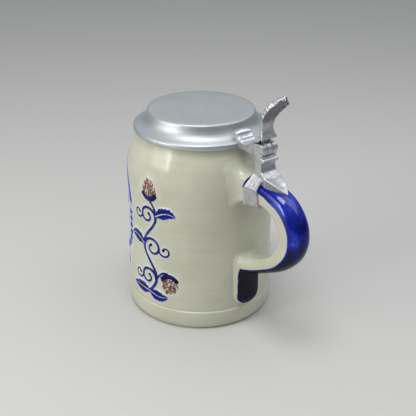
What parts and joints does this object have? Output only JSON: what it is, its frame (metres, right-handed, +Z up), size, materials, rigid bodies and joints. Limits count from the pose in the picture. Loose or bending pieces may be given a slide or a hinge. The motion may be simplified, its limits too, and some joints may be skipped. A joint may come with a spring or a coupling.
{
  "type": "lidded beer stein",
  "caption": "Salt-glazed stoneware drinking mug with a strap handle and a hinged pewter lid opened by a thumblift.",
  "frame": {"origin": "centre of the foot on the mug's axis, in the plane the foot stands on", "axes": "+Z up along the mug's axis; +X from the mug's axis towards the handle; the hinge pin is along Y"},
  "size_m": [0.1456, 0.098, 0.1617],
  "materials": {
    "salt_glazed_stoneware": "glossy salt glaze over pale grey stoneware, raised decoration in cobalt and brown",
    "cobalt_glazed_stoneware": "glossy salt glaze over brushed cobalt, streaky",
    "cast_pewter": "satin cast pewter, lightly mottled and worn bright on its edges",
    "turned_pewter": "turned and brushed pewter, polished on the crease and rim",
    "pin_steel": "plain drawn wire"
  },
  "bodies": {
    "stein": {"stoneware_body": "salt_glazed_stoneware", "stoneware_handle": "cobalt_glazed_stoneware", "handle_strap": "cast_pewter", "hinge_shank": "cast_pewter", "hinge_pin": "pin_steel", "pin_plugs": "cast_pewter"},
    "lid": {"lid_tang": "cast_pewter", "thumblift": "cast_pewter", "pewter_lid": "turned_pewter"}
  },
  "joints": [
    {"name": "lid_hinge", "type": "hinge", "parent": "stein", "child": "lid", "pos_m": [0.0609, 0, 0.127], "axis": [0, 1, 0], "range_deg": [0, 95]}
  ]
}
